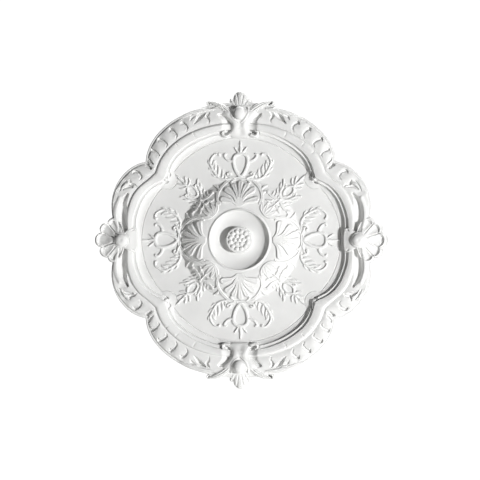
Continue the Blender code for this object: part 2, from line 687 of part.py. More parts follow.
def join_forms(rose, forms):
    """One casting: the forms joined to the plate, without slivers, its many flat triangles thinned out."""
    join = rose.modifiers.new("join", "BOOLEAN")
    join.operation = "UNION"
    join.operand_type = "COLLECTION"
    join.collection = forms
    join.solver = "EXACT"
    mesh = bake(rose)
    put_in_order(mesh)
    bm = bmesh.new()
    bm.from_mesh(mesh)
    bmesh.ops.triangulate(bm, faces=bm.faces)
    bmesh.ops.dissolve_degenerate(bm, edges=bm.edges, dist=SLIVER)
    bmesh.ops.triangulate(bm, faces=bm.faces)
    bm.to_mesh(mesh)
    bm.free()
    thin = rose.modifiers.new("thin", "DECIMATE")
    thin.ratio = KEPT_SHARE
    mesh = bake(rose)
    mesh.shade_smooth()
    mesh.set_sharp_from_angle(angle=SHARP_EDGE)


def white_primer():
    material = bpy.data.materials.new("primed_white")
    material.use_nodes = True
    shader = material.node_tree.nodes["Principled BSDF"]
    shader.inputs["Base Color"].default_value = (0.84, 0.84, 0.83, 1)
    shader.inputs["Roughness"].default_value = 0.6
    shader.inputs["Metallic"].default_value = 0.0
    return material


def main():
    clear_scene()
    parts = collection("ceiling_rose_parts")
    forms = collection("forms", hidden=True)
    add_form("frame", frame_mesh(), forms)
    add_centre(forms)
    add_frame_leaves(forms)
    add_shells(forms)
    add_crests(forms)
    add_beads(forms)
    add_palmettes(forms)
    add_arabesques(forms)
    rose = add_object("ceiling_rose", plate_mesh(), parts)
    rose.data.materials.append(white_primer())
    join_forms(rose, forms)
    for obj in list(forms.objects):
        bpy.data.objects.remove(obj)
    bpy.data.collections.remove(forms)
    rose.rotation_euler.x = math.pi / 2


main()
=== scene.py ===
"""The looks of a lobed ceiling rose: one casting in rigid foam with a white factory primer.

Shapes are worked out in millimetres in the plan of the rose, as x to the right, z to the top and w, the
height above the flat back. A mesh turns them into metres in the part's frame, where the face looks
along -Y.
"""

import math

import bpy
import numpy as np
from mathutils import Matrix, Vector


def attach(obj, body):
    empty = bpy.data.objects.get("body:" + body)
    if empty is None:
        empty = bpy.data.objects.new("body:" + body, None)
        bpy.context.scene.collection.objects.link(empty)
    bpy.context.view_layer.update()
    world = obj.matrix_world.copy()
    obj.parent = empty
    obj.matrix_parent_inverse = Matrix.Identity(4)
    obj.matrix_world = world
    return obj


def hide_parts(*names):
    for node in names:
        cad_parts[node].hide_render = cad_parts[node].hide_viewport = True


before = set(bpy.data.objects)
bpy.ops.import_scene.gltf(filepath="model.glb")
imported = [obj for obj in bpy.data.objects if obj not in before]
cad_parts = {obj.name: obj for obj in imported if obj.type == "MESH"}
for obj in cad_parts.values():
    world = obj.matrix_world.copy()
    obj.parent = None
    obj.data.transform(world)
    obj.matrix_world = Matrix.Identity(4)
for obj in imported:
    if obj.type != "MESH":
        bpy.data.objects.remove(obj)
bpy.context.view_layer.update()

MM = 0.001
NODE = "ceiling_rose"

# Heights above the back, mm
FIELD = 8.0
COVE_EDGE = 8.3
LINE_FLOOR = 6.9
COVE_FOOT = 10.2
TREAD = 14.2
FACE = 18.4
MOULDING = 20.0
GROOVE = 17.2
BAND = 18.8
BAND_EDGE = 16.6
LIP = 15.4
UNDERSIDE = 0.25

# Carving of the frame, mm: how far it goes down or up, and the height that it never goes below
CREST_HOLLOW_DEPTH = 4.6
SIDE_VALLEY_DEPTH = 6.4
SIDE_LEAF_RISE = 1.6
SIDE_EDGE_RISE = 2.4
LEAF_LOBE_RISE = 1.1
BAND_FLOOR = 6.0
MOULDING_FLOOR = 7.0

# Plan lines, mm: each is the farther of two ellipses, as centre x, centre z, half width, half height
END_LOBE = (0.0, 100.0, 124.5, 80.0)
SIDE_LOBE = (116.0, 44.0, 53.5, 59.5)
END_STEP = (0.0, 23.0, 110.3, 110.3)
SIDE_STEP = (32.0, 0.0, 99.0, 99.0)

# Widths beside the plan lines, and their inner corner, mm; the corner is searched between two angles
LIP_WIDTH = 3.6
FACE_SLOPE = 5.6
LINE_HALF_WIDTH = 0.85
CORNER_ARC = 13.0
CORNER_KNOB = (97.0, 79.5)
CORNER_SEARCH = (math.radians(25), math.radians(55))

# Plan lines as angle from the side axis in degrees and distance from the centre in mm, through a corner
GROOVE_CORNER = 38.5
GROOVE_LINE = ((0, 146.5), (10.6, 152.4), (18, 153.6), (23.1, 152.9), (27.3, 150.4), (34.0, 144.2),
               (38.5, 142.3), (44.4, 148.0), (51, 152.0), (58.2, 154.2), (70.3, 154.7), (84, 153.3),
               (90, 152.8))
FACE_CORNER = 39.0
FACE_LINE = ((0, 142.0), (6.7, 143.0), (11.2, 144.2), (16, 144.0), (24.7, 142.0), (30.9, 137.4),
             (36, 131.0), (39, 127.6), (42.3, 131.2), (45.6, 135.2), (50.7, 139.6), (58, 142.4),
             (66, 143.9), (73.8, 144.6), (90, 144.8))

# Centre, mm
DOME_RADIUS = 79.0
DOME_HEIGHT = 23.0
DOME_START = 42.0
RIM_HEIGHT = 24.5
DISH = 15.4
DISH_HOLE = 16.5
BUTTON_RADIUS = 17.0
BUTTON_HEIGHT = 26.8
FIELD_SPLIT = 105.0
PALMETTE_FOOT = 44.5

# Rings of beads on the button: radius, number, bead radius in mm, and the turn as a share of the spacing
BEAD_RINGS = ((0.0, 1, 2.7, 0.0), (5.7, 6, 2.8, 0.0), (11.6, 12, 3.0, 0.5))

# Side shells and end crests, mm
SHELL_HINGE = 155.5
SHELL_REACH = 192.2
BALL_RADIUS = 8.6
BALL_TOP = 29.0
EGG_CENTRE = 165.2
CREST_REACH = 194.6
EGG_HALF = (7.0, 8.6)
EGG_TOP = 29.6

# Number of columns in a quarter: from the side axis to the corner, and on to the end axis
FINE = (104, 136)
BAND_COLUMNS = (150, 210)


def curve_through(points, spacing=0.3):
    """Catmull-Rom curve through the points, any number of values each, sampled at even steps of length."""
    points = np.array(points, float)
    ends = np.vstack([2 * points[0] - points[1], points, 2 * points[-1] - points[-2]])
    pieces = []
    for p0, p1, p2, p3 in zip(ends, ends[1:], ends[2:], ends[3:]):
        count = max(int(np.linalg.norm((p2 - p1)[:2]) / spacing), 2)
        t = (np.arange(count) / count)[:, None]
        pieces.append(0.5 * (2 * p1 + (p2 - p0) * t + (2 * p0 - 5 * p1 + 4 * p2 - p3) * t ** 2
                             + (3 * p1 - p0 - 3 * p2 + p3) * t ** 3))
    return np.vstack(pieces + [points[-1:]])


def smooth_step(value, low, high):
    """0 below low, 1 above high and a cubic ease between."""
    t = np.clip((value - low) / (high - low), 0, 1)
    return t * t * (3 - 2 * t)


def reach(lobe, angle):
    """Distance from the origin to the far side of an ellipse along each angle.

    It is the larger root where the ray meets the ellipse, and 0 where they don't meet. The ellipse is its
    centre x, centre z, half width, half height and, if it is turned, its angle.
    """
    centre_x, centre_z, half_width, half_height = lobe[:4]
    turn = lobe[4] if len(lobe) > 4 else 0.0
    ray_x = np.cos(angle - turn) / half_width
    ray_z = np.sin(angle - turn) / half_height
    x = (centre_x * math.cos(turn) + centre_z * math.sin(turn)) / half_width
    z = (centre_z * math.cos(turn) - centre_x * math.sin(turn)) / half_height
    middle = ray_x * x + ray_z * z
    square = ray_x ** 2 + ray_z ** 2
    inside = middle ** 2 - square * (x * x + z * z - 1)
    far = (middle + np.sqrt(np.maximum(inside, 0))) / square
    return np.where(inside > 0, np.maximum(far, 0), 0)


def corner_angle(side, end):
    """Where the side lobe's line meets the end lobe's line, found by halving."""
    low, high = CORNER_SEARCH
    for _ in range(40):
        middle = (low + high) / 2
        if reach(side, middle) > reach(end, middle):
            low = middle
        else:
            high = middle
    return low


def quarter_angles(corner, counts):
    """Angles from +X to +Z in even steps to the line's own corner, then even steps on to the end axis."""
    return np.concatenate([np.linspace(0, corner, counts[0], endpoint=False),
                           np.linspace(corner, math.pi / 2, counts[1] + 1)])


def polar_line(stations, corner, counts, grow=0.0):
    """Points of a line of the frame over a quarter: two curves of distance over angle that meet in a corner.

    Each is a cubic Hermite spline whose slopes are central differences of the stations.
    """
    angle, radius = np.radians(np.array(stations, float)[:, 0]), np.array(stations, float)[:, 1] + grow
    corner = math.radians(corner)
    wanted = quarter_angles(corner, counts)
    result = np.empty_like(wanted)
    split = int(np.abs(angle - corner).argmin())
    for part, chosen in ((slice(0, split + 1), wanted < corner), (slice(split, None), wanted >= corner)):
        a, r = angle[part], radius[part]
        slope = np.gradient(r, a)
        index = np.clip(np.searchsorted(a, wanted[chosen], side="right") - 1, 0, len(a) - 2)
        span = a[index + 1] - a[index]
        t = (wanted[chosen] - a[index]) / span
        result[chosen] = ((1 + 2 * t) * (1 - t) ** 2 * r[index] + t * (1 - t) ** 2 * span * slope[index]
                          + t * t * (3 - 2 * t) * r[index + 1] - t * t * (1 - t) * span * slope[index + 1])
    return result[:, None] * np.stack([np.cos(wanted), np.sin(wanted)], axis=1)


def quarter_line(side, end, counts, grow=0.0):
    """Points of one line of the frame over a quarter: along each angle the farther of the two ellipses."""
    side = (side[0], side[1], side[2] + grow, side[3] + grow)
    end = (end[0], end[1], end[2] + grow, end[3] + grow)
    angle = quarter_angles(corner_angle(side, end), counts)
    radius = np.maximum(reach(side, angle), reach(end, angle))
    return radius[:, None] * np.stack([np.cos(angle), np.sin(angle)], axis=1)


def rounded_corner(points, knob, radius):
    """The line moved towards the centre onto an arc round the knob, where it comes nearer than the radius."""
    length = np.linalg.norm(points, axis=1)
    along = points / length[:, None]
    middle = along @ knob
    inside = radius ** 2 - knob @ knob + middle ** 2
    near = np.where(inside > 0, middle - np.sqrt(np.maximum(inside, 0)), length)
    return along * np.minimum(near, length)[:, None]


def all_round(quarter):
    """Rows over one quarter, from the +X axis to the +Z axis, mirrored into rows that go all round."""
    mirrored = quarter[:, ::-1] * (-1, 1, 1)
    half = np.concatenate([quarter[:, :-1], mirrored[:, :-1]], axis=1)
    return np.concatenate([half, half * (-1, -1, 1)], axis=1)


def profile(q, hollow=0.0):
    """Section of a raised stroke over q, the distance from its middle as a share of its half width.

    It is one less q to the power 2.6, all to the power 0.6. The hollow is the share of the height that a
    parabola takes away in the middle, out to 0.72 of the half width.
    """
    crown = np.clip(1 - q ** 2.6, 0, 1) ** 0.6
    return crown * (1 - hollow * np.clip(1 - (q / 0.72) ** 2, 0, 1))


def stroke(points, half, rise, hollow=0.0):
    """A stroke: a smooth path that carries half widths and rises, each one number or evenly spaced values."""
    share = np.linspace(0, 1, len(points))
    half = np.atleast_1d(half)
    rise = np.atleast_1d(rise)
    halves = np.interp(share, np.linspace(0, 1, len(half)), half)
    rises = np.interp(share, np.linspace(0, 1, len(rise)), rise)
    return curve_through(np.column_stack([points, halves, rises])), hollow


def relief(across, outward, strokes):
    """The highest stroke over each point: its rise times the section at distance over half width."""
    height = np.zeros_like(across)
    for path, hollow in strokes:
        margin = path[:, 2].max()
        low = path[:, :2].min(0) - margin
        high = path[:, :2].max(0) + margin
        near = (across > low[0]) & (across < high[0]) & (outward > low[1]) & (outward < high[1])
        if not near.any():
            continue
        away = np.hypot(across[near][:, None] - path[:, 0], outward[near][:, None] - path[:, 1])
        share = away / path[:, 2]
        nearest = share.argmin(axis=1)
        q = np.minimum(share[np.arange(len(nearest)), nearest], 1)
        height[near] = np.maximum(height[near], path[nearest, 3] * profile(q, hollow))
    return height


def cardinal_strokes():
    """Ornament that repeats in the four main directions, as (across, outward) in mm, one side of its axis."""
    lobes = (
        ((0.0, 76.2), (1.0, 1.5, 2.0, 3.4)),
        ((8.6, 72.8), (0.9, 1.4, 1.9, 3.3)),
        ((16.8, 67.0), (0.9, 1.6, 2.5, 4.2)),
        ((21.6, 54.6), (0.9, 1.6, 2.6, 4.4)),
    )
    strokes = []
    for (across, outward), half in lobes:
        foot = (across * 0.1 + 0.6 * (across > 0), PALMETTE_FOOT)
        middle = (across * 0.42, PALMETTE_FOOT + (outward - PALMETTE_FOOT) * 0.55)
        tip = (across * 0.99, outward - 1.5)
        strokes.append(stroke((foot, middle, tip), half, (1.6, 2.8, 3.8), 0.4))
    bracket = ((0, 81.2), (7, 80.4), (13, 79), (18, 76.2), (23.6, 70.6), (27.8, 63.6), (29.4, 57.5),
               (28.6, 51.5), (26.2, 47.2))
    strokes.append(stroke(bracket, (2.3, 2.0, 1.9, 1.9, 1.5), (2.8, 2.6, 2.6, 2.0), 0.45))
    curl = ((8.5, 81), (12.5, 82.6), (16.4, 84.0), (17.4, 86.6), (15.2, 87.9), (13.4, 86.6))
    strokes.append(stroke(curl, (1.6, 1.5, 1.3, 1.6), 2.8))
    inner_curl = ((7.5, 79.5), (10.5, 77.2), (12.6, 75.2), (11.2, 73.8))
    strokes.append(stroke(inner_curl, (1.2, 1.2, 1.6), 2.6))
    oval = ((0, 83.2), (2.8, 85.2), (5.6, 89.4), (8.2, 95.8), (9.4, 104), (7.8, 109.4), (4, 112), (0, 112.6))
    strokes.append(stroke(oval, (2.2, 2.0, 2.0, 2.1), 2.8, 0.15))
    strokes.append(stroke(((0, 112), (0, 116.6), (0, 121.5)), (1.0, 2.0, 0.9), 2.6))
    strokes.append(stroke(((0, 121), (0, 124.6), (0, 129.2)), (0.6, 1.5, 0.5), 2.0))
    strokes.append(stroke(((1.2, 113), (4.4, 116.2), (7.7, 120.9)), (1.5, 1.3, 0.6), 2.3))
    horn = ((9.6, 103.4), (13.6, 103.2), (17.6, 105.2), (20.4, 108.4), (21.3, 111.4), (19.4, 112.4))
    strokes.append(stroke(horn, (1.9, 1.6, 1.4, 1.3), 2.5, 0.2))
    spray = ((14, 80.6), (18.4, 79.4), (24.2, 79.8), (29.8, 82.6), (34.2, 88.2), (38.0, 94.8), (39.9, 100.8),
             (38.6, 106.4), (35, 111.4), (31, 112.9), (28.4, 111.8))
    strokes.append(stroke(spray, (1.1, 1.5, 1.6, 1.4, 1.1, 1.1), 2.2, 0.1))
    strokes.append(stroke(((28.6, 112.2), (28.2, 111.4)), 1.7, 2.6))
    leaflets = (
        ((24.6, 81.6), (23.2, 86.5), (23.8, 92.2)),
        ((29.4, 85.8), (28.4, 91.5), (29.4, 98.2)),
        ((33.8, 91), (33.4, 97.5), (35.2, 104)),
        ((20.0, 80.6), (19.6, 83.4), (20.8, 86.6)),
        ((36.8, 97), (35.4, 101), (32.8, 104.6)),
    )
    for points in leaflets:
        strokes.append(stroke(points, (0.9, 1.7, 0.5), (1.9, 2.0, 1.4), 0.2))
    outer_leaflets = (
        ((31.2, 83.2), (34.6, 83.6), (37.6, 85.8)),
        ((36.2, 90.6), (39.4, 91.6), (41.8, 94.4)),
        ((39.6, 98.6), (41.8, 101), (42.4, 104.4)),
    )
    for points in outer_leaflets:
        strokes.append(stroke(points, (0.9, 1.4, 0.5), 1.6, 0.1))
    strap = ((29.6, 61.5), (33.4, 63.6), (37.2, 61.6), (41.4, 57.8), (47, 56.4))
    strokes.append(stroke(strap, (1.5, 1.6, 1.5, 1.2), 2.4, 0.3))
    strokes.append(stroke(((29, 67.2), (31.4, 70), (35.2, 71.4)), (1.0, 1.8, 0.6), 2.2, 0.2))
    return strokes


def diagonal_strokes():
    """Ornament on the four diagonals, as (across, outward) in mm, one side of its axis."""
    strokes = [
        stroke(((0, 74), (0, 75)), 2.6, 3.4),
        stroke(((0, 75), (4.4, 78), (8, 82.2), (9.8, 88), (12.4, 92.6), (15.8, 95.9)),
               (1.7, 1.6, 1.5, 0.8), 2.5, 0.2),
        stroke(((9.6, 87), (10.4, 90.6), (9.6, 93), (7.2, 92.2), (7.6, 90.6)), (1.2, 1.1, 1.2), 2.3),
        stroke(((0, 74), (4.4, 71.4), (12, 69.4), (18.2, 70)), (1.6, 1.5, 1.4), 2.5, 0.3),
        stroke(((18, 70.2), (19, 70.4)), 2.3, 2.9),
        stroke(((0, 81), (3.2, 83), (5, 88.2), (4.5, 94), (0, 98.8)), (1.5, 1.5, 1.5), 2.4, 0.15),
        stroke(((8.4, 84.4), (12.2, 86.4), (15.2, 90.4)), (0.9, 1.7, 0.5), 2.1, 0.2),
        stroke(((5.4, 77.4), (9.4, 78.2), (13.2, 81.2)), (0.9, 1.7, 0.5), 2.1, 0.2),
        stroke(((0, 98.5), (0, 103.4), (0, 108)), (0.9, 1.8, 0.8), 2.5),
        stroke(((0, 107.6), (0, 112.6), (0, 119)), (0.8, 1.5, 0.5), 2.2),
        stroke(((0.8, 102), (3.6, 105.4), (6.4, 110.4)), (1.2, 1.3, 0.5), 2.2, 0.1),
        stroke(((0.8, 99.4), (5.2, 100.6), (9, 104.4)), (1.1, 1.4, 0.5), 2.1, 0.1),
        stroke(((0, 74), (0, 68.5), (0, 63.4)), (1.5, 1.1, 1.3), 2.3),
        stroke(((0, 46.5), (0, 54), (0, 62.6)), (1.4, 3.2, 0.9), 2.6, 0.45),
        stroke(((1.4, 46.6), (5.2, 53), (7.6, 60.8)), (1.2, 2.6, 0.8), 2.4, 0.45),
        stroke(((2.4, 46.4), (8.4, 50), (13.6, 56)), (1.1, 2.5, 0.8), 2.3, 0.45),
        stroke(((6.4, 66.8), (8.4, 63.6), (12.4, 61.6)), (1.0, 1.9, 0.7), 2.2, 0.2),
        stroke(((1.6, 66), (4.4, 64.6), (7.4, 65.4)), (1.0, 1.4, 0.6), 2.1, 0.1),
    ]
    fringe = ((3.6, 73.4, 0.4), (7.6, 72.4, 0.2), (11.6, 71.4, 0.0))
    for across, outward, lean in fringe:
        tip = (across + 2.4, outward + 4.6 + lean)
        points = ((across, outward - 1), (across + 0.6, outward + 2.2), tip)
        strokes.append(stroke(points, (0.9, 1.4, 0.5), 2.0, 0.1))
    return strokes


def ornament(x, z, cardinal, diagonal):
    """Relief of dome and field: both motifs on coordinates folded onto one side of their own axes."""
    x = np.abs(x)
    z = np.abs(z)
    main = relief(np.minimum(x, z), np.maximum(x, z), cardinal)
    between = relief(np.abs(x - z) / math.sqrt(2), (x + z) / math.sqrt(2), diagonal)
    return np.maximum(main, between)


def plain_ground(radius):
    """Height of dome and field over the radius: a rounded shoulder, a steep side and a short foot, then flat.

    The dome's rise is taken times one less the share of the way out to the power 2.3, to the power 1.2.
    """
    t = np.clip((radius - DOME_START) / (DOME_RADIUS - DOME_START), 0, 1)
    return FIELD + (DOME_HEIGHT - FIELD) * (1 - t ** 2.3) ** 1.2


class Shape:
    """Corners and faces of one piece, gathered from several closed surfaces."""

    def __init__(self):
        self.points = []
        self.faces = []
        self.count = 0

    def add(self, rows, poles=False):
        """A closed surface from rows of points that go round, whose last row meets the first.

        With poles, the first and the last row are each drawn together to one point instead. Faces are turned
        outwards by the sign of the enclosed volume.
        """
        rows = np.asarray(rows, float)
        if poles:
            top = rows[0].mean(axis=0)
            bottom = rows[-1].mean(axis=0)
            rows = rows[1:-1]
        row_count, column_count = rows.shape[:2]
        number = np.arange(row_count * column_count).reshape(row_count, column_count)
        right = np.roll(number, -1, axis=1)
        below = number[1:] if poles else np.roll(number, -1, axis=0)
        below_right = np.roll(below, -1, axis=1)
        last = row_count - 1 if poles else row_count
        quads = np.stack([number[:last], right[:last], below_right, below], axis=-1).reshape(-1, 4)
        points = rows.reshape(-1, 3)
        triangles = np.empty((0, 3), int)
        if poles:
            points = np.vstack([points, top, bottom])
            tip = np.full(column_count, len(points) - 2)
            triangles = np.vstack([np.column_stack([tip, right[0], number[0]]),
                                   np.column_stack([tip + 1, number[-1], right[-1]])])
        halves = np.vstack([quads[:, :3], quads[:, [0, 2, 3]], triangles])
        a, b, c = (points[halves[:, i]] for i in range(3))
        if np.einsum("ij,ij->", a, np.cross(b, c)) > 0:
            quads = quads[:, ::-1]
            triangles = triangles[:, ::-1]
        self.points.append(points)
        self.faces += (quads + self.count).tolist() + (triangles + self.count).tolist()
        self.count += len(points)


def make_piece(name, shape, material, sharp=60.0):
    """The piece as an object at the origin, in metres, smooth but for edges sharper than the angle."""
    points = np.vstack(shape.points) * MM
    points = np.column_stack([points[:, 0], -points[:, 2], points[:, 1]])
    mesh = bpy.data.meshes.new(name)
    mesh.from_pydata(points.tolist(), [], shape.faces)
    mesh.validate()
    mesh.shade_smooth()
    mesh.set_sharp_from_angle(angle=math.radians(sharp))
    mesh.materials.append(material)
    piece = bpy.data.objects.new(name, mesh)
    bpy.context.scene.collection.objects.link(piece)
    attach(piece, "root")
    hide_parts(NODE)
    return piece


def level(plan, height):
    """Plan points with a height each, as x, z, w."""
    return np.concatenate([plan, np.broadcast_to(height, plan.shape[:-1])[..., None]], axis=-1)


def around(*stations):
    """Plan points from pairs of radius and angle in degrees from the side axis."""
    radius, degrees = np.array(stations, float).T
    angle = np.radians(degrees)
    return np.column_stack([radius * np.cos(angle), radius * np.sin(angle)])


def angles_round(columns):
    """Even angles all the way round."""
    return np.arange(columns) * 2 * math.pi / columns


def with_base(across, outward, height, middle=0.0, low=UNDERSIDE):
    """The rows of a top with two more: its outline again, low down, and that drawn together at the middle."""
    across = np.vstack([across, across[-1:], across[-1:] * 0])
    outward = np.vstack([outward, outward[-1:], outward[-1:] * 0 + middle])
    height = np.vstack([height, height[-1:] * 0 + low, height[-1:] * 0 + low])
    return across, outward, height


def band_strokes():
    """Carving of the outer band over one quarter, as x, z in mm: what is cut away.

    Pointed eyes and slits undercut the larger leaves, hooks part the smaller ones, and one long tear lies
    near the crest and one on the side lobe.
    """
    strokes = [
        stroke(((46, 165), (52.5, 160), (59.5, 152.2)), (1.2, 3.2, 1.0), (2, 6, 2)),
        stroke(((58, 163), (62.5, 160.2), (64.5, 156.6)), (0.8, 1.6, 0.7), (1.5, 3.5, 1.5)),
        stroke(((117.0, 93.5), (121.2, 97.8), (125, 100.6)), (1.6, 2.6, 1.2), (4, 5, 3)),
        stroke(((114.2, 99.4), (118.0, 103.6), (120.8, 108)), (1.0, 1.9, 0.8), (2.5, 3.5, 2)),
        stroke(((141, 69.2), (147.4, 69.8), (154, 66.2)), (1.0, 2.0, 1.2), (2, 3.5, 2)),
        stroke(((150.2, 77.0), (155.2, 71.0), (158.6, 64.0)), (0.8, 1.5, 0.8), (1.5, 3, 1.5)),
    ]
    hooks = (
        ((77.5, 150.5), (76, 153), (72, 151), (69, 146.5), (70.3, 141.3)),
        ((92, 142), (91, 144.8), (87, 142.5), (83, 137), (84.2, 132.6)),
        ((107.5, 129), (106.5, 131.8), (101, 129.8), (96.2, 125.4), (97.2, 121.5)),
        ((118.5, 113.3), (117.0, 118), (110.6, 115.5), (106.5, 111.0), (107.4, 108.4)),
        ((140.4, 87.6), (138.5, 90), (133, 88), (129.6, 82.5), (132.0, 78.5)),
    )
    for points in hooks:
        strokes.append(stroke(points, (0.9, 1.9, 1.6, 1.3, 0.7), (1.6, 3.6, 2.8, 2.2, 1.0)))
    for degrees, radius in ((75.0, 0.0), (27.0, -5.6)):
        path = around((157.6 + radius, degrees), (162.0 + radius, degrees + 0.5), (167.0 + radius, degrees),
                      (170.6 + radius, degrees + 1.3))
        strokes.append(stroke(path, (0.6, 1.4, 2.2, 1.0), (1.0, 2.4, 3.8, 1.6)))
    return strokes


def crest_hollow(x, z):
    """Depth of the soft hollow round each side of the crest's neck: the cube of a stroke's section."""
    path = stroke(((27, 163.4), (18, 159), (13.6, 152.0), (13.8, 146.0), (17, 141), (23.5, 138.6)),
                  (2.4, 7.0, 10.0, 10.0, 7.0, 2.4), 1.0)
    return CREST_HOLLOW_DEPTH * relief(x, z, [path]) ** 3


def side_valley(x, z):
    """Depth of the valley inside the long leaf of each side lobe: the cube of a stroke's section."""
    path = stroke(((147, 5), (151.0, 12), (153.4, 20), (154.8, 30), (155.0, 40), (153.4, 50), (148, 60)),
                  (3, 5.5, 7.2, 7.6, 7.0, 5.0, 2), 1.0)
    return SIDE_VALLEY_DEPTH * relief(x, z, [path]) ** 3


def side_leaf(x, z):
    """Rise of the long leaf outside the valley: the cube of a stroke's section."""
    path = stroke(((158.6, 10), (161.6, 20), (162.8, 32), (161.8, 43), (158.4, 55)), (3, 5, 5.4, 5, 3), 1.0)
    return SIDE_LEAF_RISE * relief(x, z, [path]) ** 3


def band_ridges():
    """Raised leaf edges of the outer band over one quarter, as x, z in mm."""
    return [
        stroke(((50.5, 169.0), (58.6, 164.6), (63.6, 158.6)), (1.6, 2.4, 1.2), (1.0, 1.8, 1.0), 0.1),
        stroke(((147.4, 74.4), (151.2, 72.6), (154.6, 69.6)), (1.4, 2.0, 1.0), (1.2, 1.8, 1.0), 0.1),
    ]


def leaf_lobes(degrees, share, first, pitch, last):
    """Low pillows of leaf lobes across the band: a power of a cosine wave over the angle.

    They are lowest at the first angle and at each pitch from it, and fade out before the band's two edges.
    """
    phase = (degrees - first) / pitch
    wave = 0.5 - 0.5 * np.cos(2 * math.pi * phase)
    inside = smooth_step(degrees, first - pitch, first) * (1 - smooth_step(degrees, last, last + pitch))
    window = smooth_step(share, 0.15, 0.5) * (1 - smooth_step(share, 0.88, 1.0))
    return LEAF_LOBE_RISE * inside * window * (wave ** 0.7 - 0.6)


def outer_band():
    """The carved band with its lip: a section carried round the lobes, from the groove to the plate's edge.

    From the groove the height rises over three tenths of the way on a parabola, falls on another over the
    rest, and drops over the last twentieth to the lip. The rise is less by the root of the width where the
    band narrows to the shells. On the side lobes the lip is narrower and higher. Leaf lobes, ridges and the
    long leaf are added, and strokes, hollow and valley are cut. The rows go on over the lip and back along
    the flat underside.
    """
    groove = polar_line(GROOVE_LINE, GROOVE_CORNER, BAND_COLUMNS)
    lip = quarter_line(SIDE_LOBE, END_LOBE, BAND_COLUMNS, -LIP_WIDTH)
    edge = quarter_line(SIDE_LOBE, END_LOBE, BAND_COLUMNS)
    on_side = 1 - smooth_step(np.degrees(np.arctan2(edge[:, 1], edge[:, 0])), 18, 30)[:, None]
    lip = lip + 0.55 * on_side * (edge - lip)
    groove_radius = np.linalg.norm(groove, axis=1, keepdims=True)
    lip = lip * np.maximum(1, (groove_radius + 1) / np.linalg.norm(lip, axis=1, keepdims=True))
    edge = edge * np.maximum(1, (groove_radius + 2.5) / np.linalg.norm(edge, axis=1, keepdims=True))
    share = np.concatenate([np.linspace(0, 0.12, 5, endpoint=False),
                            np.linspace(0.12, 0.88, 36, endpoint=False),
                            np.linspace(0.88, 1, 10)])[:, None]
    plan = groove + (lip - groove) * share[..., None]
    width = np.linalg.norm(lip - groove, axis=1)
    full = np.sqrt(np.minimum(width / width[-1], 1))
    up = 1 - (1 - np.minimum(share / 0.3, 1)) ** 2
    down = np.clip((share - 0.3) / 0.7, 0, 1) ** 2
    edge_rise = SIDE_EDGE_RISE * on_side[:, 0]
    height = GROOVE + (BAND - GROOVE) * full * up - (BAND - BAND_EDGE - edge_rise) * down
    x = plan[..., 0]
    z = plan[..., 1]
    degrees = np.degrees(np.arctan2(z, x))
    height = height + leaf_lobes(degrees, share, 45.6, 6.2, 64.2)
    height = height + leaf_lobes(degrees, share, 21.6, 5.4, 32.4)
    height = height + relief(x, z, band_ridges()) - relief(x, z, band_strokes()) - crest_hollow(x, z)
    height = height + side_leaf(x, z) - side_valley(x, z)
    height = np.maximum(height, BAND_FLOOR)
    fall = np.clip((share - 0.95) / 0.05, 0, 1)
    lip_height = LIP + edge_rise
    height = lip_height + (height - lip_height) * np.sqrt(1 - fall ** 2.2)
    rows = list(level(plan, height))
    for outward, drop in ((0.05, 0.3), (0.4, 0.3), (0.6, 0.1), (0.85, 0.2), (1, 0.8)):
        rows.append(level(lip + (edge - lip) * outward, lip_height - drop))
    rows += [level(edge, 1.0), level(edge, 0.0), level(groove, 0.0)]
    shape = Shape()
    shape.add(all_round(np.array(rows)))
    return shape


def moulding_strokes():
    """Faint leaf tips cut in the moulding's face, and the pits beside its corner knobs."""
    strokes = [stroke(around((154, degrees), (149, degrees - 0.2), (145.4, degrees + 0.4)), (0.5, 0.9, 0.4),
                      (0.5, 1.0, 0.4)) for degrees in (50.0, 56.5, 66.5)]
    strokes.append(stroke(((95.0, 76.4), (98.4, 75.4), (101.2, 74.4)), (0.8, 1.8, 0.8), (2, 3.5, 2)))
    strokes.append(stroke(((93.6, 83.0), (93.2, 86.6), (94.4, 90.0)), (0.8, 1.5, 0.8), (2, 3, 2)))
    return strokes


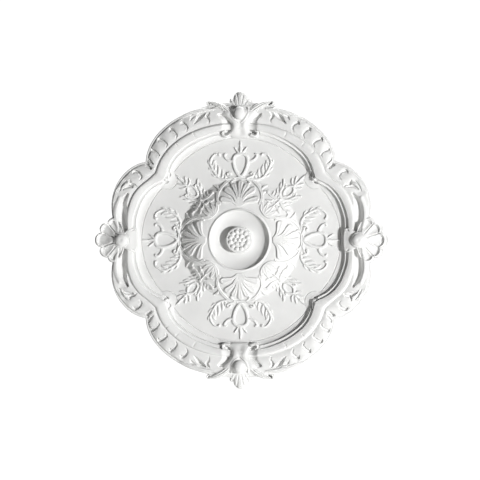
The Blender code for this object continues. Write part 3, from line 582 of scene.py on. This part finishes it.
def inner_moulding():
    """The moulding inside the groove: a roll, two drops with a narrow tread between, a cove and a cut line.

    The section is a list of places between four lines, groove, face, foot and cut line, with a height each.
    The roll is two arcs of a power curve. The cove is a power curve that flattens towards the cut line,
    which is a V.
    """
    groove = polar_line(GROOVE_LINE, GROOVE_CORNER, FINE)
    face = polar_line(FACE_LINE, FACE_CORNER, FINE)
    foot = polar_line(FACE_LINE, FACE_CORNER, FINE, -FACE_SLOPE)
    step = field_edge(LINE_HALF_WIDTH)
    lines = np.stack([groove, face, foot, step])
    rise = np.linspace(0, 1, 8)
    fall = np.linspace(0, 1, 9)[1:]
    cove = np.linspace(0, 1, 16)
    section = [(t * 0.3, GROOVE + (MOULDING - GROOVE) * (1 - (1 - t) ** 2.2) ** 0.8) for t in rise]
    section += [(0.3 + 0.7 * t, MOULDING - (MOULDING - FACE) * t ** 1.6) for t in fall]
    section += [(1.03, FACE - 0.35), (1.06, FACE - 0.9)]
    section += [(1.14, TREAD + 0.4), (1.18, TREAD + 0.1), (1.3, TREAD)]
    section += [(1.66, TREAD), (1.74, TREAD + 0.3), (1.82, TREAD + 0.35), (1.87, TREAD - 0.2)]
    section += [(1.96, COVE_FOOT + 0.4), (1.98, COVE_FOOT + 0.1)]
    section += [(2 + t, COVE_EDGE + (COVE_FOOT - COVE_EDGE) * (1 - t) ** 1.7) for t in cove]
    rows = []
    for place, height in section:
        first = min(int(place), 2)
        plan = lines[first] + (lines[first + 1] - lines[first]) * (place - first)
        carved = height - relief(plan[:, 0], plan[:, 1], moulding_strokes())
        carved = carved - crest_hollow(plan[:, 0], plan[:, 1]) * min(1.0, 0.2 + height / 20)
        carved = carved - side_valley(plan[:, 0], plan[:, 1]) * max(0.0, 1 - place / 0.3)
        rows.append(level(plan, np.maximum(carved, MOULDING_FLOOR)))
    outwards = 1 + 0.8 / np.linalg.norm(groove, axis=1, keepdims=True)
    inner = field_edge(-LINE_HALF_WIDTH)
    rows += [level(field_edge(0.12), LINE_FLOOR), level(field_edge(-0.12), LINE_FLOOR)]
    rows += [level(inner, FIELD), level(inner, 0.0), level(groove, 0.0)]
    rows += [level(groove * outwards, 5.0), level(groove * outwards, 11.0)]
    shape = Shape()
    shape.add(all_round(np.array(rows)))
    return shape


def field_edge(grow):
    """The cut line round the field, moved outwards: the farther of two ellipses, drawn in at the corner."""
    line = rounded_corner(quarter_line(SIDE_STEP, END_STEP, FINE), np.array(CORNER_KNOB), CORNER_ARC)
    return line * (1 + grow / np.linalg.norm(line, axis=1, keepdims=True))


def ring_of_ground(inner, outer, row_count, motifs):
    """Dome or field between two radii, or out to the cut line, as even rows: plain ground plus the ornament.

    The rows go on down the outer wall, along the flat underside and up the inner wall.
    """
    edge = field_edge(-LINE_HALF_WIDTH)
    along = edge / np.linalg.norm(edge, axis=1, keepdims=True)
    outer = np.linalg.norm(edge, axis=1) if outer is None else outer
    share = np.linspace(0, 1, row_count)[:, None]
    radius = inner + (outer - inner) * share * np.ones(len(along))
    plan = along * radius[..., None]
    height = plain_ground(radius) + ornament(plan[..., 0], plan[..., 1], *motifs)
    rows = list(level(plan, height)) + [level(plan[-1], 0.0), level(plan[0], 0.0)]
    shape = Shape()
    shape.add(all_round(np.array(rows)))
    return shape


def turned(profile_points, columns):
    """A profile of radius and height turned all the way round, as rows of points."""
    angle = angles_round(columns)
    radius, height = np.array(profile_points, float).T
    return np.stack([radius[:, None] * np.cos(angle), radius[:, None] * np.sin(angle),
                     np.repeat(height[:, None], columns, axis=1)], axis=-1)


def dish():
    """The dish inside the dome: a shallow bowl, steeper outwards, then an upright lip and its rounded top."""
    floor = [(DISH_HOLE + 21.7 * t, DISH + 0.1 + 5.3 * t ** 2.6) for t in np.linspace(0, 1, 34)]
    wall = [(38.45, DISH + 5.9), (38.6, RIM_HEIGHT - 1.4), (38.7, RIM_HEIGHT - 0.5),
            (38.9, RIM_HEIGHT - 0.15), (39.3, RIM_HEIGHT), (40.0, RIM_HEIGHT - 0.05),
            (40.6, RIM_HEIGHT - 0.5), (41.4, RIM_HEIGHT - 1.4), (DOME_START + 0.2, DOME_HEIGHT - 0.1),
            (DOME_START + 0.2, 0.0), (DISH_HOLE, 0.0)]
    shape = Shape()
    shape.add(turned(floor + wall, 360))
    return shape


def button():
    """The button: an upright drum with a rosette of beads, the highest half ball over a polar grid."""
    columns = 264
    angle = angles_round(columns)
    radius = np.linspace(0, BUTTON_RADIUS - 0.7, 54)[:, None]
    x = radius * np.cos(angle)
    z = radius * np.sin(angle)
    height = BUTTON_HEIGHT - 0.9 + np.zeros_like(x)
    for ring, count, bead, shift in BEAD_RINGS:
        for number in range(count):
            turn = 2 * math.pi * (number + shift) / count
            away = np.hypot(x - ring * math.cos(turn), z - ring * math.sin(turn))
            half_ball = np.sqrt(np.maximum(1 - (away / bead) ** 2, 0))
            height = np.maximum(height, BUTTON_HEIGHT - 1.5 + 0.95 * bead * half_ball)
    top = np.stack([x, z, height], axis=-1)
    sides = turned(((BUTTON_RADIUS - 0.25, BUTTON_HEIGHT - 1.1), (BUTTON_RADIUS, BUTTON_HEIGHT - 1.7),
                    (BUTTON_RADIUS, DISH + 1.0), (BUTTON_RADIUS + 0.4, DISH - 0.1), (DISH_HOLE, 0.0),
                    (0, 0.0)), columns)
    shape = Shape()
    shape.add(np.concatenate([top, sides]), poles=True)
    return shape


def oriented(across, outward, height, side):
    """Motif coordinates laid along +X (side 'right'), -X, +Z or -Z."""
    turns = {"right": (outward, across), "left": (-outward, across), "top": (across, outward),
             "bottom": (across, -outward)}
    x, z = turns[side]
    return np.stack([x, z, np.broadcast_to(height, np.shape(x))], axis=-1)


def cap(centre, half, base, top, side, columns=72, rows=20, below=2.0):
    """Half an ellipsoid: rows at even polar angles from its top to its widest ring, and a short skirt."""
    angle = angles_round(columns)
    polar = np.linspace(0, math.pi / 2, rows)[:, None]
    radius = np.concatenate([np.sin(polar), [[1.0]], [[0.0]]])
    height = np.concatenate([base + (top - base) * np.cos(polar), [[base - below]], [[base - below]]])
    across = centre[0] + half[0] * radius * np.cos(angle)
    outward = centre[1] + half[1] * radius * np.sin(angle)
    return oriented(across, outward, height * np.ones(columns), side)


def ring_roll(centre, half, tube, height, side, columns=96):
    """A roll round an ellipse: a small circle carried round it, standing at one height."""
    angle = angles_round(columns)
    turn = angles_round(14)[:, None]
    across = centre[0] + (half[0] + tube * np.cos(turn)) * np.cos(angle)
    outward = centre[1] + (half[1] + tube * np.cos(turn)) * np.sin(angle)
    return oriented(across, outward, (height + tube * np.sin(turn)) * np.ones(columns), side)


def blade(points, half, top, base, side, mirror=1, rib=0.0, section=26, veins=0):
    """A tapering roll along a curve: a half ellipse over a flat base, square to the path at each point.

    Half widths and tops are spread evenly over the points. A rib above 0 scoops the section's middle, and
    veins are narrow furrows along it.
    """
    share = np.linspace(0, 1, len(points))
    halves = np.interp(share, np.linspace(0, 1, len(half)), half)
    tops = np.interp(share, np.linspace(0, 1, len(top)), top)
    path = curve_through(np.column_stack([points, halves, tops]), spacing=0.6)
    ahead = np.gradient(path[:, :2], axis=0)
    ahead /= np.linalg.norm(ahead, axis=1, keepdims=True)
    square = np.column_stack([-ahead[:, 1], ahead[:, 0]])
    turn = np.linspace(0, math.pi, section)
    offset = np.concatenate([np.cos(turn), [-0.96, 0.96]])
    crown = np.sin(turn) ** 0.8 * (1 - rib * np.exp(-(np.cos(turn) / 0.4) ** 2))
    if veins:
        crown *= 1 - 0.14 * np.abs(np.cos(math.pi * (veins + 1) * (np.cos(turn) + 1) / 2)) ** 6
    lift = np.concatenate([crown, [0, 0]])
    drop = np.concatenate([np.zeros(section), [1, 1]])
    ends = np.vstack([path[:1], path, path[-1:]])
    square = np.vstack([square[:1], square, square[-1:]])
    width = ends[:, 2].copy()
    width[[0, -1]] = 0
    across = mirror * (ends[:, :1] + square[:, :1] * offset * width[:, None])
    outward = ends[:, 1:2] + square[:, 1:2] * offset * width[:, None]
    floor = base * (1 - drop) + UNDERSIDE * drop
    height = floor + (ends[:, 3:4] - base) * lift
    return oriented(across, outward, height, side)


def fan(centre, lobes, inner, base, crown, strokes, side, columns=280, rows=54):
    """A fluted fan: polar rows out to a scalloped outline, with scooped strokes over a falling crown.

    The outline is the farthest of the lobes' ellipses round the centre. The crown falls with the root of
    one less the third power of the share of the way out.
    """
    angle = angles_round(columns)
    outline = np.full(columns, inner)
    for tip, half, length in lobes:
        for mirror in (1, -1):
            turn = math.atan2(tip[1] - centre[1], mirror * (tip[0] - centre[0]))
            distance = math.hypot(tip[0] - centre[0], tip[1] - centre[1])
            middle = distance - length / 2
            ellipse = (middle * math.cos(turn), middle * math.sin(turn), length / 2, half, turn)
            outline = np.maximum(outline, reach(ellipse, angle))
    share = np.linspace(0, 1, rows)[:, None] ** 0.8
    across = outline * share * np.cos(angle)
    outward = outline * share * np.sin(angle)
    height = base + crown * np.sqrt(1 - np.minimum(share, 1) ** 3)
    height = height + relief(np.abs(across), outward, strokes)
    across, outward, height = with_base(across, outward, height)
    return oriented(across + centre[0], outward + centre[1], height, side)


def shell_fan(side, columns=432):
    """The fluted fan of a side shell: rows round the hinge, each a share of the way to the outline.

    Each lobe's outline stands out from the notches beside it by one less the 2.6th power of the angle from
    the lobe's middle. The height falls away from the ball and ends in a rolled rim. The middle of each lobe
    is scooped, and a narrow bell is cut out along the notches.
    """
    angle = angles_round(columns)
    degrees = np.degrees(np.abs((angle + math.pi) % (2 * math.pi) - math.pi))
    notches = np.array([19.0, 49.0, 76.0])
    notch_reach = np.array([30.2, 30.0, 27.2])
    number = np.minimum(np.searchsorted(notches, degrees), 2)
    middle = np.array([0.0, 34.0, 62.5])[number]
    half = np.array([19.0, 15.0, 13.5])[number]
    off = np.clip((degrees - middle) / half, -1, 1)
    notch = notch_reach[np.where(off > 0, number, np.maximum(number - 1, 0))]
    full = np.array([SHELL_REACH - SHELL_HINGE, 34.7, 33.0])[number]
    outline = notch + (full - notch) * (1 - np.abs(off) ** 2.6)
    outline = outline + (12.0 - outline) * smooth_step(degrees, 76.0, 104.0)
    share = np.concatenate([np.linspace(0, 0.8, 40, endpoint=False), np.linspace(0.8, 1, 24)])[:, None]
    radius = outline * share
    height = 18.6 + 5.2 * (1 - smooth_step(share, 0.05, 0.95))
    height = height + 2.2 * np.exp(-((share - 0.91) / 0.055) ** 2)
    scoop = np.maximum(1 - (off / 0.82) ** 2, 0) * smooth_step(share, 0.3, 0.6)
    scoop = scoop * (1 - smooth_step(share, 0.8, 0.9))
    from_notch = (1 - np.abs(off)) * np.radians(half) * radius
    crease = np.exp(-(from_notch / 0.75) ** 2) * smooth_step(share, 0.22, 0.5) * (degrees < 84)
    height = height - 1.9 * scoop * (degrees < 76) - 2.2 * crease
    fall = np.clip((share - 0.92) / 0.08, 0, 1)
    height = 8.0 + (height - 8.0) * np.sqrt(1 - fall ** 2.4)
    across, outward, height = with_base(radius * np.sin(angle), radius * np.cos(angle), height)
    return oriented(across, outward + SHELL_HINGE, height, side)


def shell(side):
    """One side shell: a fluted fan, its ball with a dimple and a collar, and the bridge from the cove."""
    shape = Shape()
    centre = (0.0, SHELL_HINGE)
    shape.add(shell_fan(side), poles=True)
    ball = cap(centre, (BALL_RADIUS, BALL_RADIUS), BALL_TOP - 5.4, BALL_TOP, side, rows=40, below=9)
    away = np.hypot(*(ball[..., i] - ball[:1, :, i] for i in (0, 1)))
    ball[..., 2] -= 0.8 * np.exp(-(away / 2.4) ** 2)
    shape.add(ball, poles=True)
    shape.add(ring_roll(centre, (BALL_RADIUS + 0.4, BALL_RADIUS + 0.4), 1.4, 22.6, side))
    shape.add(bridge(side), poles=True)
    return shape


def bridge(side):
    """The bridge from the cove to the ball: a squared oval pad with upright sides that narrows to the ball.

    Its top rises towards the ball. Two slanted nicks mark its shoulders.
    """
    columns = 200
    angle = angles_round(columns)
    cosine = np.cos(angle)
    sine = np.sin(angle)
    squared = (np.abs(cosine) ** 4 + np.abs(sine) ** 4) ** -0.25
    share = np.concatenate([np.linspace(0, 0.84, 26, endpoint=False), np.linspace(0.84, 1, 14)])[:, None]
    across = 17.2 * squared * cosine * share
    outward = 145.0 + 10.2 * squared * sine * share
    across = across * (1 - 0.34 * smooth_step(outward, 139, 154))
    top = 17.6 + 3.0 * smooth_step(outward, 134, 147)
    nicks = [stroke(((11.6, 142.6), (13.4, 140.6), (14.0, 138.2)), (0.5, 1.1, 0.5), (0.6, 1.4, 0.6))]
    height = top - relief(np.abs(across), outward, nicks)
    height = 7.0 + (height - 7.0) * np.sqrt(1 - np.clip((share - 0.86) / 0.14, 0, 1) ** 2.4)
    across, outward, height = with_base(across, outward, height, middle=145.0, low=5.0)
    return oriented(across, outward, height, side)


def crest_neck(side):
    """The neck below the egg: rows across it from its foot up, as wide as it flares, with a soft valley.

    The height falls to the sides with the root of one less the fifth power of the share of the half width.
    """
    stations = np.array(((133.6, 9.0), (135.0, 13.0), (137.0, 16.2), (139.0, 16.4), (141.0, 13.8),
                         (144.0, 11.8), (148.0, 11.0), (152.0, 12.2), (156.0, 15.4), (160.0, 20.2),
                         (163.0, 25.6), (166.0, 29.0), (170.0, 27.0), (174.0, 20.0)))
    outward = np.linspace(stations[0, 0], stations[-1, 0], 110)[:, None]
    half = np.interp(outward[:, 0], stations[:, 0], stations[:, 1])
    half = np.convolve(np.pad(half, 4, "edge"), np.ones(9) / 9, "valid")[:, None]
    edge = np.sin(np.linspace(-math.pi / 2, math.pi / 2, 72))[None, :]
    across = half * edge
    top = 21.6 - 9.0 * (1 - smooth_step(outward, 132, 151)) - 5.0 * smooth_step(outward, 166, 174)
    top = top - 1.5 * np.exp(-((across - 0.6) / 4.2) ** 2) * smooth_step(outward, 134, 142)
    top = top - 2.4 * smooth_step(np.abs(across), 15, 27)
    foot = np.sqrt(1 - np.clip((136.4 - outward) / 2.8, 0, 1) ** 2)
    height = 9.0 + (top - 9.0) * (1 - np.abs(edge) ** 5) ** 0.5 * foot
    under = np.full_like(height, UNDERSIDE)
    rows = np.concatenate([across, across[:, ::-1]], axis=1)
    outward = outward * np.ones_like(rows)
    height = np.concatenate([height, under[:, ::-1]], axis=1)
    rows = np.vstack([rows[:1] * 0, rows, rows[-1:] * 0])
    outward = np.vstack([outward[:1], outward, outward[-1:]])
    height = np.vstack([height[:1] * 0 + 5.0, height, height[-1:] * 0 + 5.0])
    return oriented(rows, outward, height, side)


def crest(side):
    """One end crest: fluted fan, egg in its cup, flared neck, a volute on each side, and the leaf tips."""
    shape = Shape()
    centre = (0.0, EGG_CENTRE)
    lobes = (
        ((0.0, CREST_REACH), 9.4, 22.0),
        ((0.0, CREST_REACH), 6.4, 30.0),
        ((13.2, 185.0), 4.6, 22.0),
        ((15.2, 176.0), 5.6, 18.0),
    )
    flutes = []
    for tip, half in (((0.0, 27.4), 3.6), ((8.2, 23.2), 3.4), ((12.8, 15.0), 3.2), ((13.8, 6.6), 2.8)):
        tip = np.array(tip)
        flutes.append(stroke((tip * 0.3, tip * 0.65, tip * 0.96), (1.2, 2.4, half), (0.6, 1.1, 1.3), 0.25))
    shape.add(fan(centre, lobes, 11.0, 8.6, 7.4, flutes, side), poles=True)
    shape.add(crest_neck(side), poles=True)
    base = EGG_TOP - 5.0
    shape.add(cap(centre, EGG_HALF, base, EGG_TOP, side, below=8), poles=True)
    for mirror in (1, -1):
        cup = ((1.4, 152.6), (6.2, 156.4), (9.8, 161.6), (11.4, 167.6), (11.0, 173.0))
        shape.add(blade(cup, (1.4, 2.4, 2.6, 2.2, 1.4), (21.0, 22.4, 22.8, 21.6, 19.4), 14, side, mirror),
                  poles=True)
        volute = ((14, 137.2), (18.6, 135.8), (22.4, 137.2), (22.6, 140.8), (19.8, 142.0))
        shape.add(blade(volute, (2.6, 2.4, 2.0, 1.4), (17.4, 17.8, 18.0, 17.4), 10, side, mirror), poles=True)
        high_leaf = ((7, 158.6), (15, 166.8), (23.4, 173.2), (33, 178.0), (43.0, 180.6))
        shape.add(blade(high_leaf, (3.4, 5.0, 4.8, 3.4, 0.8), (22.6, 22.4, 21.4, 19.8, 16.5), 8, side, mirror,
                        0.12, section=44, veins=3), poles=True)
        hook = ((43.0, 180.2), (42.6, 177.2), (39.0, 175.6))
        shape.add(blade(hook, (1.0, 1.5, 0.9), (17.0, 17.4, 16.0), 8, side, mirror), poles=True)
        low_leaf = ((34, 170.6), (47, 169.8), (60, 166.8), (72, 162.4), (83.0, 158.4))
        shape.add(blade(low_leaf, (1.4, 3.4, 3.8, 3.4, 1.2), (20, 20.6, 20.2, 19, 16), 8, side, mirror, 0.12),
                  poles=True)
    return shape


def corner_knobs():
    """The small knob in each of the four inner corners, and two curls in each of the four outer ones."""
    knobs = ((97.6, 79.6, 3.0, 12.6), (117.6, 98.4, 2.4, 15.6), (113.4, 94.4, 2.6, 16.4))
    shape = Shape()
    for flip_x in (1, -1):
        for flip_z in (1, -1):
            for x, z, radius, base in knobs:
                rows = cap((x, z), (radius, radius), base, base + radius, "top", 32, 10, 7)
                shape.add(rows * (flip_x, flip_z, 1), poles=True)
    return shape


def linear(hex_colour):
    """An sRGB hex colour as linear red, green and blue with alpha 1."""
    values = [int(hex_colour[i:i + 2], 16) / 255 for i in (1, 3, 5)]
    return [v / 12.92 if v <= 0.04045 else ((v + 0.055) / 1.055) ** 2.4 for v in values] + [1.0]


def add_node(tree, kind, settings=(), inputs=(), links=()):
    """A node with its settings and input values; links are (input, node, output) from nodes made before."""
    node = tree.nodes.new(kind)
    for name, value in dict(settings).items():
        setattr(node, name, value)
    for name, value in dict(inputs).items():
        node.inputs[name].default_value = value
    for name, source, output in links:
        tree.links.new(source.outputs[output], node.inputs[name])
    return node


def primed_polyurethane():
    """Moulded rigid polyurethane foam under a sprayed white primer.

    To the eye it is a soft, dead white: fine spray grain, faint cloudiness where the primer is thinner, and
    no mirror-like gloss. Grain is about 0.5 mm and clouding about 30 mm.
    """
    material = bpy.data.materials.new("primed_polyurethane")
    material.use_nodes = True
    tree = material.node_tree
    shader = tree.nodes["Principled BSDF"]
    place = add_node(tree, "ShaderNodeTexCoord")
    cloud = add_node(tree, "ShaderNodeTexNoise", inputs={"Scale": 1 / (30 * MM), "Detail": 3.0},
                     links=(("Vector", place, "Object"),))
    grain = add_node(tree, "ShaderNodeTexNoise", inputs={"Scale": 1 / (0.5 * MM), "Detail": 2.0},
                     links=(("Vector", place, "Object"),))
    tone = add_node(tree, "ShaderNodeValToRGB", links=(("Fac", cloud, "Fac"),))
    tone.color_ramp.elements[0].position = 0.3
    tone.color_ramp.elements[0].color = linear("#dfdfde")
    tone.color_ramp.elements[1].position = 0.7
    tone.color_ramp.elements[1].color = linear("#e5e5e4")
    dull = add_node(tree, "ShaderNodeMapRange", inputs={"To Min": 0.56, "To Max": 0.68},
                    links=(("Value", grain, "Fac"),))
    bump = add_node(tree, "ShaderNodeBump", inputs={"Strength": 0.12, "Distance": 0.05 * MM},
                    links=(("Height", grain, "Fac"),))
    tree.links.new(tone.outputs["Color"], shader.inputs["Base Color"])
    tree.links.new(dull.outputs["Result"], shader.inputs["Roughness"])
    tree.links.new(bump.outputs["Normal"], shader.inputs["Normal"])
    shader.inputs["IOR"].default_value = 1.47
    shader.inputs["Specular IOR Level"].default_value = 0.35
    return material


def build_rose():
    """Makes the twelve pieces that stand for the one casting."""
    white = primed_polyurethane()
    motifs = (cardinal_strokes(), diagonal_strokes())
    make_piece("outer_band", outer_band(), white)
    make_piece("inner_moulding", inner_moulding(), white, sharp=40)
    make_piece("field_outer", ring_of_ground(FIELD_SPLIT, None, 42, motifs), white)
    make_piece("field_inner", ring_of_ground(DOME_RADIUS, FIELD_SPLIT, 48, motifs), white)
    make_piece("dome", ring_of_ground(DOME_START + 0.2, DOME_RADIUS, 74, motifs), white)
    make_piece("dish", dish(), white)
    make_piece("button", button(), white)
    for side in ("right", "left"):
        make_piece("shell_" + side, shell(side), white)
    for side in ("top", "bottom"):
        make_piece("crest_" + side, crest(side), white)
    make_piece("corner_knobs", corner_knobs(), white)


# The view of the photograph: level with the rose, a few degrees from the right, through a long lens
CAMERA_DISTANCE = 3.2
CAMERA_AZIMUTH = math.radians(6.5)
PHOTO_PIXELS = 480
PIXEL_SIZE = 1.304
FRAME_WIDTH = PHOTO_PIXELS * PIXEL_SIZE * MM
CENTRE = Vector((0.0, -15 * MM, 0.0))
SENSOR = 36.0


def add_camera():
    camera_data = bpy.data.cameras.new("camera")
    camera_data.sensor_width = SENSOR
    camera_data.lens = SENSOR * CAMERA_DISTANCE / FRAME_WIDTH
    camera = bpy.data.objects.new("camera", camera_data)
    bpy.context.scene.collection.objects.link(camera)
    away = Vector((math.sin(CAMERA_AZIMUTH), -math.cos(CAMERA_AZIMUTH), 0.0))
    camera.location = CENTRE + away * CAMERA_DISTANCE
    camera.rotation_euler = (-away).to_track_quat("-Z", "Y").to_euler()
    bpy.context.scene.camera = camera


def add_area(name, position, size, power):
    """A soft lamp that looks at the rose."""
    lamp_data = bpy.data.lights.new(name, "AREA")
    lamp_data.shape = "DISK"
    lamp_data.size = size
    lamp_data.energy = power
    lamp = bpy.data.objects.new(name, lamp_data)
    bpy.context.scene.collection.objects.link(lamp)
    lamp.location = position
    lamp.rotation_euler = (CENTRE - Vector(position)).to_track_quat("-Z", "Y").to_euler()


def add_studio():
    """Key light from the right, a weak fill in front, one lamp behind, a pale floor and a white backdrop.

    The world is bright to the camera alone, so the backdrop is white while the lamps shape the relief.
    """
    add_area("key", (1.70, -1.66, -0.16), 0.16, 59.0)
    add_area("fill", (-0.3, -2.6, 0.9), 1.6, 0.2)
    add_area("back", (0.0, 0.9, 1.8), 1.2, 75.0)
    world = bpy.data.worlds.new("studio")
    bpy.context.scene.world = world
    world.use_nodes = True
    tree = world.node_tree
    tree.nodes.clear()
    rays = add_node(tree, "ShaderNodeLightPath")
    dim = add_node(tree, "ShaderNodeBackground", inputs={"Color": (1, 1, 1, 1), "Strength": 0.015})
    bright = add_node(tree, "ShaderNodeBackground", inputs={"Color": (1, 1, 1, 1), "Strength": 1.1})
    mix = add_node(tree, "ShaderNodeMixShader", links=(("Fac", rays, "Is Camera Ray"),))
    tree.links.new(dim.outputs["Background"], mix.inputs[1])
    tree.links.new(bright.outputs["Background"], mix.inputs[2])
    output = add_node(tree, "ShaderNodeOutputWorld")
    tree.links.new(mix.outputs["Shader"], output.inputs["Surface"])
    floor_mesh = bpy.data.meshes.new("floor")
    near, far, half, drop = -1.5, 1.3, 1.4, -0.6
    corners = [(-half, near, drop), (half, near, drop), (half, far, drop), (-half, far, drop)]
    floor_mesh.from_pydata(corners, [], [(0, 1, 2, 3)])
    floor = bpy.data.objects.new("floor", floor_mesh)
    bpy.context.scene.collection.objects.link(floor)
    material = bpy.data.materials.new("pale_floor")
    material.use_nodes = True
    shader = material.node_tree.nodes["Principled BSDF"]
    shader.inputs["Base Color"].default_value = linear("#e9e9e7")
    shader.inputs["Roughness"].default_value = 0.8
    floor_mesh.materials.append(material)
    bpy.context.scene.view_settings.view_transform = "Standard"


add_camera()
build_rose()
add_studio()
